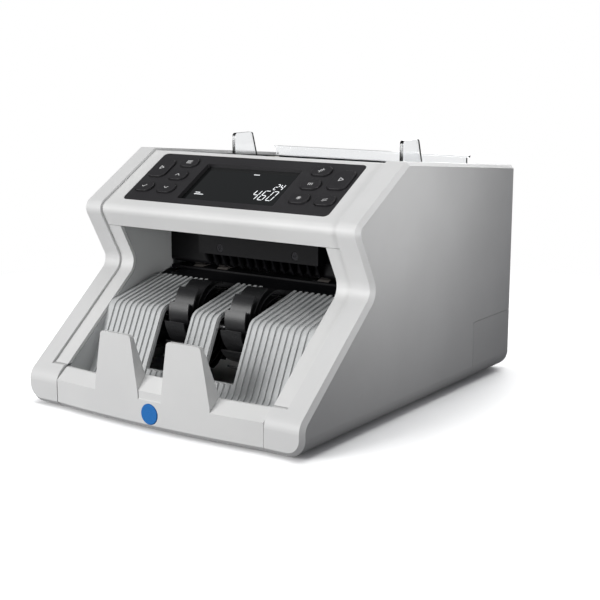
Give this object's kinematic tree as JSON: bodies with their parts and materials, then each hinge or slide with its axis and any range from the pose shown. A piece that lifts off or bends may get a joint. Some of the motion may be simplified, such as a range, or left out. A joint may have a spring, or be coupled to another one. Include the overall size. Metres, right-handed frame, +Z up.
{
  "type": "banknote counting machine",
  "caption": "Desktop banknote counter with sloped control panel, top hopper with sliding guides, feed rollers and an open front stacker with finned wheels.",
  "frame": {"origin": "on the table under the middle of the machine's box", "axes": "+X to the right of a person facing the front, +Y to the back, +Z up"},
  "size_m": [0.25, 0.302, 0.1915],
  "materials": {
    "housing_white": "fine spark texture, moulded",
    "pocket_grey": "satin, ribbed",
    "black_plastic": "satin",
    "panel_charcoal": "fine matte",
    "screen_glass": "gloss",
    "screen_frame": "matte",
    "clear_plastic": "clear, polished",
    "foot_rubber": "matte",
    "roller_rubber": "ground matte",
    "belt_rubber": "matte",
    "steel": "brushed",
    "screw_black": "black oxide",
    "sheet_steel": "zinc plated",
    "bearing_bronze": "sintered",
    "motor_metal": "satin",
    "pulley_plastic": "satin",
    "circuit_board": "solder mask",
    "badge_blue": "gloss"
  },
  "bodies": {
    "housing": {"base_pan": "housing_white", "rubber_feet": "foot_rubber", "foot_screws": "steel", "front_panel": "housing_white", "badge": "badge_blue", "left_side_cover": "housing_white", "right_side_cover": "housing_white", "left_inner_frame": "housing_white", "right_inner_frame": "housing_white", "stacker_pocket": "pocket_grey", "hood": "housing_white", "control_bezel": "panel_charcoal", "lcd_lens": "screen_glass", "lcd_module": "screen_frame", "control_board": "circuit_board", "hopper_tray": "black_plastic", "hopper_back_plate": "clear_plastic", "upper_housing": "black_plastic", "exit_bar": "black_plastic", "exit_bar_screws": "screw_black", "exit_plate": "black_plastic", "retard_roller": "roller_rubber", "shaft_bearings": "bearing_bronze", "left_side_frame": "sheet_steel", "right_side_frame": "sheet_steel", "main_motor": "motor_metal", "stacker_motor": "motor_metal", "drive_belts": "belt_rubber", "main_board": "circuit_board", "power_supply": "circuit_board", "power_inlet": "black_plastic", "rear_ports": "black_plastic", "rear_hinge_pins": "steel"},
    "key_start_left": {"key_start_left": "panel_charcoal"},
    "key_menu": {"key_menu": "panel_charcoal"},
    "key_up": {"key_up": "panel_charcoal"},
    "key_down": {"key_down": "panel_charcoal"},
    "key_ok_left": {"key_ok_left": "panel_charcoal"},
    "key_batch": {"key_batch": "panel_charcoal"},
    "key_mode": {"key_mode": "panel_charcoal"},
    "key_detect": {"key_detect": "panel_charcoal"},
    "key_start_right": {"key_start_right": "panel_charcoal"},
    "key_currency": {"key_currency": "panel_charcoal"},
    "left_guide": {"left_guide": "clear_plastic"},
    "right_guide": {"right_guide": "clear_plastic"},
    "guide_pinion": {"guide_pinion": "pulley_plastic"},
    "gap_adjust_knob": {"gap_adjust_knob": "pulley_plastic"},
    "feed_roller": {"feed_shaft": "steel", "feed_rollers": "roller_rubber"},
    "pickup_roller": {"pickup_shaft": "steel", "pickup_rollers": "roller_rubber"},
    "transport_roller": {"transport_shaft": "steel", "transport_rollers": "roller_rubber"},
    "idler_roller": {"idler_rollers": "roller_rubber"},
    "main_motor_rotor": {"main_motor_pulley": "pulley_plastic"},
    "stacker_rotor": {"stacker_shaft": "steel", "stacker_wheels": "black_plastic"},
    "stacker_motor_rotor": {"stacker_motor_pulley": "pulley_plastic"},
    "rear_door": {"rear_door": "housing_white"},
    "power_switch": {"power_switch": "black_plastic"}
  },
  "joints": [
    {"name": "key_start_left_press", "type": "slide", "parent": "housing", "child": "key_start_left", "axis": [0, 0.5128, -0.8585], "range_m": [0, 0.001], "stiffness_N_per_m": 900, "springref_m": -0.0006},
    {"name": "key_menu_press", "type": "slide", "parent": "housing", "child": "key_menu", "axis": [0, 0.5128, -0.8585], "range_m": [0, 0.001], "stiffness_N_per_m": 900, "springref_m": -0.0006},
    {"name": "key_up_press", "type": "slide", "parent": "housing", "child": "key_up", "axis": [0, 0.5128, -0.8585], "range_m": [0, 0.001], "stiffness_N_per_m": 900, "springref_m": -0.0006},
    {"name": "key_down_press", "type": "slide", "parent": "housing", "child": "key_down", "axis": [0, 0.5128, -0.8585], "range_m": [0, 0.001], "stiffness_N_per_m": 900, "springref_m": -0.0006},
    {"name": "key_ok_left_press", "type": "slide", "parent": "housing", "child": "key_ok_left", "axis": [0, 0.5128, -0.8585], "range_m": [0, 0.001], "stiffness_N_per_m": 900, "springref_m": -0.0006},
    {"name": "key_batch_press", "type": "slide", "parent": "housing", "child": "key_batch", "axis": [0, 0.5128, -0.8585], "range_m": [0, 0.001], "stiffness_N_per_m": 900, "springref_m": -0.0006},
    {"name": "key_mode_press", "type": "slide", "parent": "housing", "child": "key_mode", "axis": [0, 0.5128, -0.8585], "range_m": [0, 0.001], "stiffness_N_per_m": 900, "springref_m": -0.0006},
    {"name": "key_detect_press", "type": "slide", "parent": "housing", "child": "key_detect", "axis": [0, 0.5128, -0.8585], "range_m": [0, 0.001], "stiffness_N_per_m": 900, "springref_m": -0.0006},
    {"name": "key_start_right_press", "type": "slide", "parent": "housing", "child": "key_start_right", "axis": [0, 0.5128, -0.8585], "range_m": [0, 0.001], "stiffness_N_per_m": 900, "springref_m": -0.0006},
    {"name": "key_currency_press", "type": "slide", "parent": "housing", "child": "key_currency", "axis": [0, 0.5128, -0.8585], "range_m": [0, 0.001], "stiffness_N_per_m": 900, "springref_m": -0.0006},
    {"name": "left_guide_slide", "type": "slide", "parent": "housing", "child": "left_guide", "axis": [1, 0, 0], "range_m": [-0.012, 0.03]},
    {"name": "right_guide_slide", "type": "slide", "parent": "housing", "child": "right_guide", "axis": [1, 0, 0], "range_m": [-0.03, 0.012]},
    {"name": "guide_pinion_turn", "type": "hinge", "parent": "housing", "child": "guide_pinion", "pos_m": [0, 0.08799, 0.13879], "axis": [0, -0.319, 0.9478], "range_deg": [-230, 92]},
    {"name": "gap_knob_turn", "type": "hinge", "parent": "housing", "child": "gap_adjust_knob", "pos_m": [0, -0.007, 0.175], "axis": [0, 0, 1], "range_deg": [-180, 180]},
    {"name": "feed_spin", "type": "hinge", "parent": "housing", "child": "feed_roller", "pos_m": [0, 0.03, 0.096], "axis": [1, 0, 0], "continuous": true},
    {"name": "pickup_spin", "type": "hinge", "parent": "housing", "child": "pickup_roller", "pos_m": [0, 0.05562, 0.12209], "axis": [1, 0, 0], "continuous": true},
    {"name": "transport_spin", "type": "hinge", "parent": "housing", "child": "transport_roller", "pos_m": [0, -0.004, 0.08], "axis": [1, 0, 0], "continuous": true},
    {"name": "idler_spin", "type": "hinge", "parent": "housing", "child": "idler_roller", "pos_m": [0, -0.004, 0.0994], "axis": [1, 0, 0], "continuous": true},
    {"name": "main_motor_spin", "type": "hinge", "parent": "housing", "child": "main_motor_rotor", "pos_m": [0, 0.06, 0.046], "axis": [1, 0, 0], "continuous": true},
    {"name": "stacker_spin", "type": "hinge", "parent": "housing", "child": "stacker_rotor", "pos_m": [0, -0.05975, 0.057], "axis": [1, 0, 0], "continuous": true},
    {"name": "stacker_motor_spin", "type": "hinge", "parent": "housing", "child": "stacker_motor_rotor", "pos_m": [0, -0.024, 0.038], "axis": [1, 0, 0], "continuous": true},
    {"name": "rear_door_hinge", "type": "hinge", "parent": "housing", "child": "rear_door", "pos_m": [0, 0.1488, 0.061], "axis": [-1, 0, 0], "range_deg": [0, 90]},
    {"name": "power_switch_rock", "type": "hinge", "parent": "housing", "child": "power_switch", "pos_m": [-0.0565, 0.1455, 0.033], "axis": [-1, 0, 0], "range_deg": [0, 16]}
  ],
  "couplings": [
    {"joint": "right_guide_slide", "follows": "left_guide_slide", "ratio": -1},
    {"joint": "guide_pinion_turn", "follows": "left_guide_slide", "rad_per_m": -133.33},
    {"joint": "pickup_spin", "follows": "feed_spin", "ratio": 1.4286},
    {"joint": "transport_spin", "follows": "feed_spin", "ratio": 2},
    {"joint": "main_motor_spin", "follows": "feed_spin", "ratio": 2},
    {"joint": "idler_spin", "follows": "feed_spin", "ratio": -2.3182},
    {"joint": "stacker_motor_spin", "follows": "stacker_spin", "ratio": 2}
  ]
}
